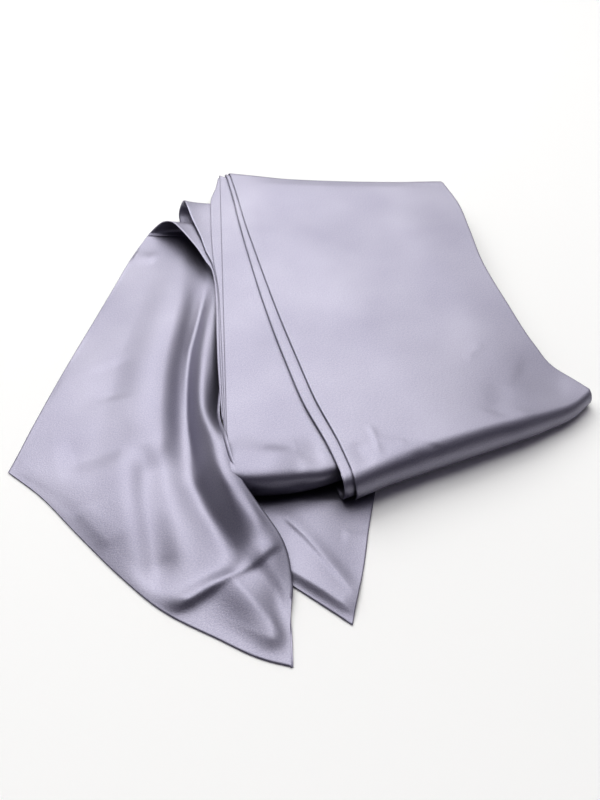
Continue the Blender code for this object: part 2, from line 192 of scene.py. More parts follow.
def creased(grid, strokes, seed, uneven, size):
    """The grid with its creases and a gentle unevenness, laid along its normals where it faces
    up. What faces down keeps its form, so it stays clear of what lies below."""
    normal = normals_of(grid)
    lift = all_lift(grid[..., 0], grid[..., 1], strokes, uneven, size, seed)
    lift = lift * smooth(normal[..., 2] * FACING_UP[0] + FACING_UP[1])
    return grid + lift[..., None] * normal


# %% [markdown]
# ## From grids to shells
#
# Cloth has a thickness, so a flat grid isn't enough. Blender's Solidify modifier could give one,
# but then the rim would be square. Here the outer and the inner face are both grids, and a ring
# of points a little outside their middle joins them, so the hem is rounded.

# %% Squares and rim of a grid


def squares_of(rows, columns):
    """Corner numbers of every square of a grid."""
    i, j = np.meshgrid(np.arange(rows - 1), np.arange(columns - 1), indexing="ij")
    a = (i * columns + j).ravel()
    return np.stack([a, a + columns, a + columns + 1, a + 1], axis=1)


def rim_of(rows, columns):
    """Places along the rim of a grid, in order: near side, right side, far side, left side."""
    near = [(rows - 1, j) for j in range(columns)]
    right = [(i, columns - 1) for i in range(rows - 2, -1, -1)]
    far = [(0, j) for j in range(columns - 2, -1, -1)]
    left = [(i, 0) for i in range(1, rows - 1)]
    return near + right + far + left


print("a grid of 3 by 3 has", len(rim_of(3, 3)), "points on its rim")

# %% A closed shell with a rounded rim
RIM_BULGE = 0.4  # how far the rim stands out, as a share of the thickness


def body_of_faces(outer, inner):
    """A closed shell with a rounded rim between its outer and inner face."""
    rows, columns = outer.shape[:2]
    size = rows * columns
    middle = (outer + inner) / 2
    rim = rim_of(rows, columns)
    out = []
    for i, j in rim:
        inward = (min(max(i, 1), rows - 2), min(max(j, 1), columns - 2))
        step = middle[i, j] - middle[inward]
        out.append(step / max(np.linalg.norm(step), TINY))
    thick = np.array([np.linalg.norm(outer[p] - inner[p]) for p in rim])
    ring = np.array([middle[p] for p in rim]) + np.array(out) * thick[:, None] * RIM_BULGE
    points = np.concatenate([outer.reshape(-1, 3), inner.reshape(-1, 3), ring])
    top = squares_of(rows, columns)
    first = np.array([i * columns + j for i, j in rim])
    count = len(rim)
    this = np.arange(count)
    following = (this + 1) % count
    ring_at = 2 * size + this
    ring_next = 2 * size + following
    upper = np.stack([first, ring_at, ring_next, first[following]], axis=1)
    lower = np.stack([ring_at, first + size, first[following] + size, ring_next], axis=1)
    return points, np.concatenate([top, top[:, ::-1] + size, upper, lower])


# %% From points to a piece of the scene
SHARP_ANGLE = math.radians(65)  # a steeper edge than this stays sharp


def lay_uv(mesh, place):
    """Texture places in metres of cloth: across the strip and along it."""
    layer = mesh.uv_layers.new(name="cloth")
    corner = np.zeros(len(mesh.loops), int)
    mesh.loops.foreach_get("vertex_index", corner)
    layer.data.foreach_set("uv", place[corner].astype(np.float32).ravel())


def make_piece(name, points, faces, material, place=None):
    """A piece of the scene from points in the millimetres of the tables."""
    mesh = bpy.data.meshes.new(name)
    mesh.from_pydata(((points - FOOTPRINT_MIDDLE) * MM).tolist(), [], faces.tolist())
    working = bmesh.new()
    working.from_mesh(mesh)
    bmesh.ops.recalc_face_normals(working, faces=working.faces)
    working.to_mesh(mesh)
    working.free()
    mesh.shade_smooth()
    mesh.set_sharp_from_angle(angle=SHARP_ANGLE)
    if place is not None:
        lay_uv(mesh, place)
    mesh.materials.append(material)
    made = bpy.data.objects.new(name, mesh)
    bpy.context.scene.collection.objects.link(made)
    print(f"{name}: {len(faces)} faces")
    return made


# %% A shell of cloth


def cloth_places(grid):
    """How far each grid point lies across and along the cloth, in metres."""
    across = np.zeros(grid.shape[:2])
    along = np.zeros(grid.shape[:2])
    across[:, 1:] = np.cumsum(np.linalg.norm(np.diff(grid, axis=1), axis=2), axis=1)
    along[1:] = np.cumsum(np.linalg.norm(np.diff(grid, axis=0), axis=2), axis=0)
    return np.stack([across, along], axis=2).reshape(-1, 2) * MM


def shell(name, outer, material, sunk=0.0, thickness=CLOTH):
    """A shell as thick as the cloth, whose outer face is the grid or lies a little inside it."""
    normal = normals_of(outer)
    inner = outer - (sunk + thickness) * normal
    inner[..., 2] = np.maximum(inner[..., 2], 0)
    outer = outer - sunk * normal
    outer[..., 2] = np.maximum(outer[..., 2], 0)
    points, faces = body_of_faces(outer, inner)
    place = cloth_places(outer)
    rim = [i * outer.shape[1] + j for i, j in rim_of(*outer.shape[:2])]
    place = np.concatenate([place, place, place[rim]])
    return make_piece(name, points, faces, material, place)


# %% [markdown]
# ## Satin
#
# Satin floats its threads over the surface, so it is glossy along its folds and falls dark where
# it turns away from the light. A picture of satin could be wrapped on, but a procedural material
# needs no file and never repeats. The shader is a soft metal-like gloss over a lilac grey, since
# a metal colours what it mirrors, as these threads do. A very fine grain stands for the weave, in
# the colour and in the bump, and broad faint clouds of tone keep the flat parts from looking
# printed.

# %% Values of the satin
SATIN_SOCKETS = {
    "Roughness": 0.48,
    "Metallic": 0.90,
    "Specular IOR Level": 0.5,
    "Sheen Weight": 0.05,
    "Sheen Roughness": 0.5,
    "Sheen Tint": (0.8, 0.78, 0.95, 1.0),
}
PALE_LILAC = (0.405, 0.393, 0.447, 1)
DEEP_LILAC = (0.215, 0.207, 0.265, 1)
CLOUDS = {"Scale": 16.0, "Detail": 2.0}  # over the object, in metres
GRAIN = {"Scale": 1150.0, "Detail": 4.0, "Roughness": 0.7}  # over the cloth, in metres
GRAIN_RELIEF = {"Strength": 1.0, "Distance": 0.00014}
GRAIN_SHARE = 2.2  # how much the grain counts beside the clouds
TONE_HALF = 0.85  # half the range of the sum that runs from deep to pale
print("the grain is about", round(1000 / GRAIN["Scale"], 2), "mm wide")

# %% Nodes with their values


def add_node(tree, kind, sockets=(), **settings):
    """A new node. Its settings come first, since they decide which sockets it has."""
    node = tree.nodes.new(kind)
    for setting, value in settings.items():
        setattr(node, setting, value)
    set_sockets(node, dict(sockets))
    return node


def set_sockets(node, sockets):
    """Values on the sockets of a node, by name or by number."""
    for socket, value in sockets.items():
        node.inputs[socket].default_value = value


# %% The satin material


def satin(name, pale, deep):
    """Satin whose colour runs from deep to pale with its clouds and its grain."""
    material = bpy.data.materials.new(name)
    material.use_nodes = True
    tree = material.node_tree
    shader = tree.nodes["Principled BSDF"]
    set_sockets(shader, SATIN_SOCKETS)
    places = add_node(tree, "ShaderNodeTexCoord")
    clouds = add_node(tree, "ShaderNodeTexNoise", CLOUDS)
    grain = add_node(tree, "ShaderNodeTexNoise", GRAIN)
    tone = add_node(tree, "ShaderNodeMath", {1: GRAIN_SHARE}, operation="MULTIPLY_ADD")
    middle = 0.5 + 0.5 * GRAIN_SHARE
    tones = {"From Min": middle - TONE_HALF, "From Max": middle + TONE_HALF}
    spread = add_node(tree, "ShaderNodeMapRange", tones)
    mix = add_node(tree, "ShaderNodeMix", {"A": deep, "B": pale}, data_type="RGBA")
    bump = add_node(tree, "ShaderNodeBump", GRAIN_RELIEF)
    joined = (
        (places.outputs["Object"], clouds.inputs["Vector"]),
        (places.outputs["UV"], grain.inputs["Vector"]),
        (grain.outputs["Fac"], tone.inputs[0]),
        (clouds.outputs["Fac"], tone.inputs[2]),
        (tone.outputs["Value"], spread.inputs["Value"]),
        (spread.outputs["Result"], mix.inputs["Factor"]),
        (mix.outputs["Result"], shader.inputs["Base Color"]),
        (grain.outputs["Fac"], bump.inputs["Height"]),
        (bump.outputs["Normal"], shader.inputs["Normal"]),
    )
    for output, socket in joined:
        tree.links.new(output, socket)
    return material


SATIN = satin("lilac_satin", PALE_LILAC, DEEP_LILAC)
print(SATIN.name, "has", len(SATIN.node_tree.nodes), "nodes")

# %% [markdown]
# ## The top panel and the ply under it
#
# The doubled strip comes up round the far side, runs over the pile and turns under at the near
# side. Its two free edges lie at the left, one a little beyond the other, and its lengthwise fold
# is at the right. A plain sheet could be bent with curves or a lattice. Here two fold lines say
# where the cloth turns, far and near, and the panel is drawn between them, because the fold lines
# are what can be measured. They are the same as in the CAD.

# %% Fold lines of the top panel
# share across, far x, far y, near x, near y, bottom of the near roll
TOP_FOLDS = (
    (0.00, -69.0, 228.3, 26.0, -126.0, ON_TAIL),
    (0.10, -52.0, 225.0, 42.0, -117.5, ON_TAIL),
    (0.25, -25.0, 220.2, 67.0, -106.0, 0.9),
    (0.50, 20.0, 216.0, 107.0, -88.2, 0.0),
    (0.76, 66.0, 214.5, 148.0, -68.2, 0.0),
    (0.90, 92.0, 214.5, 169.5, -54.5, 0.0),
    (1.00, 109.0, 215.0, 182.6, -41.0, 0.0),
)
FAR_HEADING = np.array((-0.26, 0.966))  # the way the far roll bulges, over the plan
NEAR_HEADING = np.array((0.30, -0.954))
FAR_ROLL_BOTTOM = 0.0
print("top panel:", len(TOP_FOLDS), "places across its fold lines")

# %% Sides that are not straight
# share from far to near, how far the right edge is drawn in
RIGHT_WAIST = (
    (0.00, 0.0),
    (0.13, 0.5),
    (0.28, 7.0),
    (0.47, 16.0),
    (0.66, 19.4),
    (0.85, 18.6),
    (0.92, 15.0),
    (0.97, 5.0),
    (1.00, 0.0),
)
# share from far to near, how far the left edge bows out
LEFT_BOW = (
    (0.00, 0.0),
    (0.09, 1.2),
    (0.19, 3.2),
    (0.37, 5.0),
    (0.60, 5.9),
    (0.71, 5.3),
    (0.82, 4.3),
    (0.93, 0.4),
    (1.00, -0.5),
)
STRAIGHT = ((0.0, 0.0), (1.0, 0.0))
# share from far to near, how far the ply below shows beyond the left edge
UNDER_PLY_SHOWS = ((0.0, 3.3), (0.2, 3.8), (0.5, 7.2), (0.75, 7.8), (0.87, 6.6), (1.0, 7.4))
print("the right side is drawn in by up to", max(row[1] for row in RIGHT_WAIST), "mm")

# %% The height of the pile
THIN_CORNER = (183.0, -40.0)  # the near right corner, where fewer layers lie
THIN_DROP = 10.5
THIN_REACH = 60.0


def pile_top(x, y):
    """Height of the top panel's upper face over a point of the plan."""
    away = np.hypot(x - THIN_CORNER[0], y - THIN_CORNER[1]) / THIN_REACH
    return PILE_TOP - THIN_DROP * np.exp(-(away**2))


print("the pile is", round(float(pile_top(*THIN_CORNER)), 1), "mm high at its thin corner")

# %% A ply wrapped over the pile
ROLL_STEPS = 22
PANEL_STEPS = 150


def half_roll(outermost, heading, top, bottom, turn, square=1.0):
    """Half a turn of cloth from top to bottom, round when square is 1 and fuller below that."""
    radius = (top - bottom) / 2
    reach = radius * (np.abs(np.sin(turn)) ** square - 1)
    rise = np.sign(np.cos(turn)) * np.abs(np.cos(turn)) ** square
    plan = outermost + heading * reach[..., None]
    return np.dstack([plan, (top + bottom) / 2 + radius * rise])


def wrapped(across, folds, top_of, inset, far_bottom, bow, waist, limb, square=1.0):
    """One face of a ply that comes up round its far roll, runs over the pile and turns under
    at its near roll, as in the CAD. Its last row is a short return of the length of limb."""
    at = through(folds, across)
    far = at[:, 0:2] - inset * FAR_HEADING
    near = at[:, 2:4] - inset * NEAR_HEADING
    near_bottom = np.maximum(at[:, 4], 0) + inset
    turn = np.linspace(0, math.pi, ROLL_STEPS + 1)[:, None]
    far_top = top_of(far[:, 0], far[:, 1]) - inset
    near_top = top_of(near[:, 0], near[:, 1]) - inset
    near_start = near - NEAR_HEADING * ((near_top - near_bottom) / 2)[:, None]
    near_top = top_of(near_start[:, 0], near_start[:, 1]) - inset
    far_roll = half_roll(far[None], FAR_HEADING, far_top[None], far_bottom + inset, turn)[::-1]
    heights = (near_top[None], near_bottom[None])
    near_roll = half_roll(near[None], NEAR_HEADING, *heights, turn, square)
    share = np.linspace(0, 1, PANEL_STEPS + 1)[1:-1, None, None]
    start, end = far_roll[-1][None, :, :2], near_roll[0][None, :, :2]
    plan = start + share * (end - start)
    plan[:, :, 0] -= through(bow, share[:, 0, 0]) * np.clip(1 - across[None], 0, 1) ** 3
    plan[:, :, 0] -= through(waist, share[:, 0, 0]) * across[None] ** 2
    top = np.dstack([plan, top_of(plan[..., 0], plan[..., 1]) - inset])
    under = near_roll[-1:].copy()
    under[..., :2] -= NEAR_HEADING * limb
    return np.concatenate([far_roll, top, near_roll, under])


print("each roll is drawn in", ROLL_STEPS, "steps, and the panel between them in", PANEL_STEPS)

# %% The lengthwise fold
SIDE_FOLD_RADIUS = 1.3
SIDE_FOLD_STEPS = 7


def with_side_fold(grid, radius):
    """The grid with its right edge turned down and under, as the strip's lengthwise fold."""
    normal = normals_of(grid)[:, -1]
    outward = grid[:, -1] - grid[:, -3]
    outward /= np.linalg.norm(outward, axis=1, keepdims=True)
    extra = []
    for turn in np.linspace(0, math.pi, SIDE_FOLD_STEPS + 1)[1:]:
        side, down = radius * math.sin(turn), radius * (1 - math.cos(turn))
        extra.append(grid[:, -1] + outward * side - normal * down)
    return np.concatenate([grid, np.stack(extra, axis=1)], axis=1)


print("the lengthwise fold is", 2 * SIDE_FOLD_RADIUS, "mm thick")

# %% Creases of the top panel
# path over the plan, width on its left, width on its right, height
TOP_CREASES = (
    (((20, -111), (60, -96), (110, -76), (150, -57), (190, -34)), 9.0, 5.0, 0.7),
    (((66, -108), (70, -92)), 7.0, 9.0, -0.6),
    (((130, -88), (134, -58)), 9.0, 8.0, 0.35),
    (((34, -78), (37, -88), (39, -104)), 2.6, 0.9, 0.6),
    (((38, -90), (46, -92), (58, -93)), 2.0, 4.0, 0.35),
    (((26, -92), (30, -104), (34, -112)), 5.0, 5.0, -0.6),
    (((96, -100), (60, -30), (20, 60), (-10, 150)), 16.0, 22.0, 0.5),
    (((150, -60), (118, 10), (96, 90), (70, 190)), 18.0, 24.0, 0.6),
    (((112, -70), (118, -55), (122, -35)), 8.0, 8.0, -0.5),
    (((102, -18), (109, -8), (116, 0)), 3.5, 3.0, 0.25),
    (((170, -36), (150, -30), (132, -22)), 14.0, 14.0, -0.4),
    (((-64, 203), (20, 196), (116, 195)), 9.0, 24.0, 0.9),
    (((-54, 214), (20, 208), (104, 207)), 7.0, 8.0, -0.5),
)
print("top panel:", len(TOP_CREASES), "creases")

# %% The top panel
TOP_LIMB = 6.0
TOP_COLUMNS = 130
HIGHEST_CREASE = 1  # above the pile
top_bend = (FAR_ROLL_BOTTOM, LEFT_BOW, RIGHT_WAIST, TOP_LIMB)
top_face = wrapped(np.linspace(0, 1, TOP_COLUMNS), TOP_FOLDS, pile_top, 0.0, *top_bend)
top_face = creased(top_face, TOP_CREASES, seed=3, uneven=0.22, size=90.0)
top_face[..., 2] = np.clip(top_face[..., 2], 0, PILE_TOP + HIGHEST_CREASE)
top_panel = shell("top_panel_cloth", with_side_fold(top_face, SIDE_FOLD_RADIUS), SATIN)

# %% The ply under the top panel
EDGE_BLEND = 0.12  # share across over which the shape of its own edge dies out
beyond = UNDER_PLY_SHOWS[0][1] / (TOP_FOLDS[-1][1] - TOP_FOLDS[0][1])
edge_part, fine_part, wide_part = (-beyond, -beyond / 2), (0, 0.25, 34), (0.28, 0.985, 40)
under_across = np.concatenate([edge_part, np.linspace(*fine_part), np.linspace(*wide_part)])
under_face = wrapped(under_across, TOP_FOLDS, pile_top, PITCH, *top_bend)
shows = through(UNDER_PLY_SHOWS, np.linspace(0, 1, len(under_face)))[:, 0]
edge_share = np.clip(1 - (under_across + beyond) / EDGE_BLEND, 0, 1)
under_face[..., 0] -= (shows - shows[0])[:, None] * edge_share[None]
under_ply = shell("top_panel_under_ply_cloth", under_face, SATIN)

# %% [markdown]
# ## The second panel
#
# It lies under the top panel and shows as a triangle. Its near side turns under in a roll of its
# own, and its far side turns into the pass below it. It is wrapped as the top panel is, with fold
# lines of its own, and its near roll is a little squarer, since the soft cloth sags over its edge.

# %% Fold lines and creases of the second panel
# share across, far x, far y, near x, near y, bottom of the near roll
SECOND_FOLDS = (
    (0.00, -76.0, 224.0, -47.0, -120.5, ON_TAIL),
    (0.20, -68.0, 219.5, -30.0, -121.4, ON_TAIL),
    (0.50, -58.0, 215.5, -5.0, -118.5, 2.2),
    (0.75, -51.0, 213.5, 13.0, -113.5, 4.7),
    (1.00, -44.0, 212.0, 30.0, -105.0, 4.7),
)
# path over the plan, width on its left, width on its right, height
SECOND_CREASES = (
    (((-60, -112), (-38, -117), (-14, -116), (8, -111)), 16.0, 5.0, 2.0),
    (((-56, -96), (-30, -102), (-8, -101), (3, -97)), 12.0, 14.0, 1.6),
    (((-28, -134), (-21, -92)), 8.0, 9.0, 1.1),
    (((-10, -134), (-5, -92)), 6.0, 6.0, -0.9),
    (((5, -132), (8, -94)), 5.0, 6.0, 0.8),
    (((-44, -40), (-30, 40), (-52, 130)), 8.0, 12.0, 0.35),
)
print("second panel:", len(SECOND_CREASES), "creases")

# %% The second panel
SECOND_FULLNESS = 0.82  # below 1, so its near roll is squarer than a half circle
SECOND_FAR_BOTTOM = SECOND_TOP - 2 * PITCH - WALL
SECOND_LIMB = 4.0
SECOND_COLUMNS = 90


def flat_top(x, y):
    """The second panel is level, so its height is the same over any point of the plan."""
    return np.full(np.shape(x), SECOND_TOP)


second_bend = (SECOND_FAR_BOTTOM, STRAIGHT, STRAIGHT, SECOND_LIMB, SECOND_FULLNESS)
second_across = np.linspace(0, 1, SECOND_COLUMNS)
second_face = wrapped(second_across, SECOND_FOLDS, flat_top, 0.0, *second_bend)
second_face = creased(second_face, SECOND_CREASES, seed=8, uneven=0.15, size=60.0)
second_panel = shell("second_panel_cloth", second_face, SATIN)

# %% [markdown]
# ## The far turns
#
# Left of the second panel three plies show. Two of them stand up as open arches at the far left,
# where the doubled strip turns over, one nested in the other. The third is the pass under the
# second panel. An arch could be a bent plane, but each of these turns as it rises, so each is
# drawn from rows that say where its left and its right edge run in space.

# %% Rows of the leaves
# left x, y, z of the outer face, then right x, y, z
INNER_LEAF = (
    (-131.3, 158.6, 0.0, -69.0, 157.0, 0.0),
    (-128.5, 161.4, 2.6, -68.0, 164.5, 1.2),
    (-123.0, 161.0, 8.5, -67.0, 168.5, 5.0),
    (-117.0, 158.5, 14.0, -66.5, 168.0, 9.5),
    (-109.0, 151.5, 18.3, -62.0, 158.0, 13.6),
    (-101.5, 141.0, 19.0, -59.5, 145.0, 13.9),
    (-93.5, 129.0, 17.8, -57.0, 131.0, 13.9),
    (-86.0, 117.0, 16.2, -54.5, 118.0, 13.9),
    (-79.0, 103.0, 14.6, -52.5, 104.0, 13.9),
    (-73.0, 90.0, 14.0, -51.0, 91.0, 13.9),
    (-68.6, 60.0, 13.9, -49.0, 61.0, 13.9),
    (-62.5, -10.0, 13.9, -44.0, -9.0, 13.9),
    (-56.0, -66.0, 13.9, -39.0, -66.0, 13.9),
)
OUTER_LEAF = (
    (-106.5, 176.5, 0.0, -69.0, 176.5, 0.0),
    (-107.8, 183.5, 4.5, -68.5, 184.0, 4.0),
    (-106.0, 187.5, 11.0, -67.5, 188.0, 9.0),
    (-102.5, 184.5, 17.6, -66.0, 184.5, 14.2),
    (-99.0, 173.5, 20.0, -62.0, 174.0, 15.4),
    (-94.3, 158.0, 19.4, -60.0, 158.0, 15.4),
    (-90.3, 147.0, 18.6, -57.8, 147.0, 15.4),
    (-84.5, 131.0, 17.8, -56.0, 131.0, 15.4),
    (-79.5, 114.0, 16.8, -54.0, 114.0, 15.4),
    (-72.6, 95.0, 15.7, -52.0, 95.0, 15.4),
    (-66.8, 62.0, 15.4, -49.0, 62.0, 15.4),
    (-60.7, -10.0, 15.4, -44.0, -10.0, 15.4),
    (-52.4, -92.0, 15.4, -37.0, -92.0, 15.4),
)
MIDDLE_LEAF = (
    (-77.0, 221.0, 16.9, -60.5, 213.0, 16.9),
    (-78.0, 205.0, 16.9, -60.5, 205.0, 16.9),
    (-80.5, 186.0, 17.5, -60.0, 186.0, 16.9),
    (-79.0, 164.0, 17.9, -59.0, 164.0, 16.9),
    (-76.0, 130.0, 17.7, -57.0, 130.0, 16.9),
    (-72.5, 100.0, 17.2, -53.5, 100.0, 16.9),
    (-66.0, 60.0, 16.9, -49.0, 60.0, 16.9),
    (-59.3, -10.0, 16.9, -44.0, -10.0, 16.9),
    (-51.8, -92.0, 16.9, -37.0, -92.0, 16.9),
)
print("leaves:", len(INNER_LEAF), len(OUTER_LEAF), len(MIDDLE_LEAF), "rows")

# %% The leaves


def leaf(rows, steps, across):
    """One face of a leaf. Most of its rise or fall lies near its left edge."""
    run = along_rows(rows, steps)
    share = np.linspace(0, 1, across)[None, :, None]
    left, right = run[:, None, 0:3], run[:, None, 3:6]
    outer = left + share * (right - left)
    settle = 1 - (1 - share[..., 0]) ** 3
    outer[..., 2] = left[..., 2] + settle * (right[..., 2] - left[..., 2])
    return outer


inner_turn = shell("far_turn_inner_cloth", leaf(INNER_LEAF, 220, 26), SATIN)
outer_turn = shell("far_turn_outer_cloth", leaf(OUTER_LEAF, 220, 26), SATIN)
middle_leaf = shell("middle_leaf_cloth", leaf(MIDDLE_LEAF, 180, 20), SATIN)

# %% [markdown]
# ## The left tail
#
# The tail is the end of the strip, spread on the surface. It lies flat along its left edge and
# rises over a broad crown. A valley follows, and then a narrower ridge, which rolls down against
# the pile and over the corner of the second panel. Near its end a pressed crease crosses the
# tail, and beyond the crease the cloth lies flat again.
#
# This is the freest piece of cloth here, so a simulation or sculpting would suit it best. Rows
# were chosen all the same, since the solid needs them too: each says where the tail begins and
# ends at that place and how high its crown, valley and ridge are.

# %% Rows of the tail
# left x, left y, right x, right y, height there, outward bow of the row,
# crown at, height, valley at, height, ridge at, height
TAIL_ROWS = (
    (-131.6, 157.9, -69.3, 156.3, 0.0, 0.0, 0.50, 0.0, 0.80, 0.0, 0.92, 0.0),
    (-140.9, 124.9, -68.0, 120.0, 3.5, 0.0, 0.56, 3.4, 0.83, 2.0, 0.92, 3.0),
    (-148.6, 88.0, -64.0, 80.0, 5.0, 0.0, 0.59, 6.4, 0.83, 2.6, 0.92, 4.4),
    (-156.6, 50.0, -60.5, 35.0, 5.0, 0.0, 0.61, 8.2, 0.79, 2.4, 0.87, 7.2),
    (-164.4, 14.0, -59.5, -8.0, 5.0, 0.5, 0.62, 9.2, 0.77, 2.6, 0.87, 11.0),
    (-171.8, -22.0, -59.5, -54.0, 6.5, 1.0, 0.66, 9.6, 0.81, 2.8, 0.91, 14.0),
    (-177.0, -50.0, -52.5, -87.0, 18.9, 2.0, 0.66, 9.6, 0.81, 3.4, 0.94, 19.4),
    (-179.0, -61.0, -47.4, -105.5, 19.2, 3.0, 0.66, 9.6, 0.81, 4.2, 0.94, 20.3),
    (-180.8, -72.0, -41.5, -119.5, 18.1, 5.0, 0.66, 9.4, 0.80, 4.6, 0.94, 20.0),
    (-182.7, -84.0, -32.5, -133.0, 14.4, 7.0, 0.65, 9.2, 0.79, 4.8, 0.94, 17.3),
    (-184.0, -91.0, -17.0, -156.5, 8.0, 10.0, 0.64, 8.6, 0.78, 4.4, 0.94, 11.8),
    (-184.7, -94.8, -12.2, -181.0, 3.8, 12.5, 0.66, 6.6, 0.80, 3.4, 0.93, 7.0),
    (-185.1, -96.8, -12.3, -207.0, 0.8, 14.5, 0.66, 2.8, 0.80, 1.2, 0.92, 1.2),
    (-185.4, -98.0, -11.5, -228.6, 0.0, 15.4, 0.60, 0.0, 0.78, 0.0, 0.92, 0.0),
)
print("left tail:", len(TAIL_ROWS), "rows")

# %% The foot and the bow of the tail
# The foot is the right edge, turned down. Row number: how far it lies from the right edge of the
# row in x and y, and its height. A row that isn't named has its foot just under its edge.
TAIL_FEET = {
    8: (1.0, -0.5, 16.4),
    9: (-1.5, 5.5, 3.5),
    10: (-3.0, 3.5, 2.8),
    11: (-1.5, 1.0, 2.5),
    12: (0.1, 0.0, 0.7),
    13: (0.1, 0.0, 0.0),
}
USUAL_FOOT = 0.6
FOOT_BELOW = 0.05
# share across, share of the row's outward bow
ROW_BOW = (
    (0.00, 0.0),
    (0.13, 0.06),
    (0.32, 0.49),
    (0.50, 0.86),
    (0.66, 1.0),
    (0.81, 0.69),
    (0.94, 0.34),
    (1.00, 0.0),
)
print("left tail:", len(TAIL_FEET), "rows have a foot of their own")

# %% Creases of the tail
VALLEY_LINE = ((-78, 92), (-81, 46), (-84, 13), (-83, -18), (-79, -56), (-73, -88), (-62, -122))
PRESSED_LINE = ((-106, -216), (-80, -201), (-53, -184), (-29, -169), (-14, -155), (0, -146))
# path over the plan, width on its left, width on its right, height
TAIL_CREASES = (
    (VALLEY_LINE, 2.4, 2.4, -1.0),
    (((-94, 100), (-92, 60), (-93, 20), (-93, -20), (-90, -60), (-86, -96)), 5.0, 6.0, 0.7),
    (((-150, 138), (-133, 126), (-118, 122)), 8.0, 7.0, 1.0),
    (((-140, 0), (-131, -22), (-128, -44)), 14.0, 14.0, -0.9),
    (((-102, -80), (-97, -120), (-89, -154), (-80, -190)), 13.0, 9.0, -4.4),
    (((-158, -95), (-138, -88), (-118, -81), (-92, -88)), 16.0, 12.0, -2.0),
    (((-136, -126), (-126, -142), (-112, -158)), 10.0, 10.0, 0.6),
    (((-56, -84), (-44, -110), (-34, -136), (-26, -160)), 6.0, 5.0, 1.0),
    (((-68, -104), (-60, -126), (-51, -148), (-38, -172)), 7.0, 8.0, -1.8),
    (((-114, -221), (-90, -207), (-66, -191), (-42, -174)), 7.5, 4.5, 2.2),
    (PRESSED_LINE, 7.0, 1.6, 1.1),
    (((-52, -170), (-41, -186), (-28, -201), (-10, -222)), 6.0, 12.0, 3.2),
    (((-38, -164), (-27, -179), (-14, -195), (2, -214)), 6.0, 6.0, -2.2),
)
print("left tail:", len(TAIL_CREASES), "creases")

# %% The tail's grid and its foot
TAIL_STEPS = 260
TAIL_ACROSS = 150
FOOT_STEPS = 8
KNEE_OUT, KNEE_DOWN = 0.8, 0.4  # the point that rounds the right edge on its way to the foot


def tail_feet():
    """Place of the foot beside each row."""
    feet = []
    for i, row in enumerate(TAIL_ROWS):
        under_edge = (USUAL_FOOT, 0.0, max(row[4] - FOOT_BELOW, 0))
        feet.append(TAIL_FEET.get(i, under_edge))
    return feet


print("left tail: lowest foot", min(foot[2] for foot in tail_feet()), "mm high")

# %% A loft through the rows


def tail_under():
    """Lower face of the left tail: a loft through its rows, with its ridges and its foot."""
    run = along_rows(TAIL_ROWS, TAIL_STEPS)
    foot_run = along_rows(tail_feet(), TAIL_STEPS)
    share = np.linspace(0, 1, TAIL_ACROSS)
    grid = np.zeros((TAIL_STEPS, TAIL_ACROSS + FOOT_STEPS, 3))
    for i, (row, foot) in enumerate(zip(run, foot_run)):
        left, right, right_height, bow = row[0:2], row[2:4], row[4], row[5]
        crown_at, crown, valley_at, valley, ridge_at, ridge = row[6:]
        outward = np.array([right[1] - left[1], left[0] - right[0]])
        outward /= np.linalg.norm(outward)
        profile = (
            (0.0, 0.0),
            (crown_at / 2, crown / 2),
            (crown_at, crown),
            (valley_at, valley),
            (ridge_at, ridge),
            (1.0, right_height),
        )
        grid[i, :TAIL_ACROSS, :2] = left + share[:, None] * (right - left)
        grid[i, :TAIL_ACROSS, :2] += bow * through(ROW_BOW, share) * outward
        grid[i, :TAIL_ACROSS, 2] = through(profile, share)[:, 0]
        edge = grid[i, TAIL_ACROSS - 1]
        foot_at = np.array([right[0] + foot[0], right[1] + foot[1], foot[2]])
        across = (right - left) / np.linalg.norm(right - left)
        out = KNEE_OUT * across
        knee = np.array([edge[0] + out[0], edge[1] + out[1], edge[2] - KNEE_DOWN])
        for k in range(FOOT_STEPS):
            t = (k + 1) / FOOT_STEPS
            bend = (1 - t) ** 2 * edge + 2 * t * (1 - t) * knee + t**2 * foot_at
            grid[i, TAIL_ACROSS + k] = bend
    return grid


# %% The tail's upper face
THIN_FOOT_FROM, THIN_FOOT_OVER = 0.85, 0.05  # share from far to near
THINNED_BY = 0.8  # the foot is thin at the near end, so no pale sliver shows beside the corner
tail_face = tail_under()
row_share = np.linspace(0, 1, TAIL_STEPS)[:, None]
column = np.arange(TAIL_ACROSS + FOOT_STEPS)[None]
is_foot = column >= TAIL_ACROSS
thin_foot = is_foot * smooth((row_share - THIN_FOOT_FROM) / THIN_FOOT_OVER)
tail_wall = WALL * (1 - THINNED_BY * thin_foot)
tail_face = tail_face + tail_wall[..., None] * normals_of(tail_face)
print("left tail: up to", round(tail_face[..., 2].max(), 1), "mm high")

# %% The left tail with its creases
END_SETTLE = 13.0  # mm from either end within which the creases die out
LEFT_SETTLE, RIGHT_SETTLE = 6.0, 8.0  # the same in columns of the grid
lift = all_lift(tail_face[..., 0], tail_face[..., 1], TAIL_CREASES, 0.35, 60.0, seed=5)
room = np.maximum(tail_face[..., 2] - WALL, 0)
lift = np.maximum(lift, -room)
step_lengths = np.linalg.norm(np.diff(tail_face, axis=0), axis=2)
from_far = np.concatenate([np.zeros((1, column.size)), np.cumsum(step_lengths, axis=0)])
ends_in = smooth(np.minimum(from_far, from_far[-1] - from_far) / END_SETTLE)
left_in = smooth(column / LEFT_SETTLE)
right_in = smooth((TAIL_ACROSS - column) / RIGHT_SETTLE)
tail_face[..., 2] += lift * ~is_foot * ends_in * left_in * right_in
left_tail = shell("left_tail_cloth", tail_face, SATIN, *LYING)

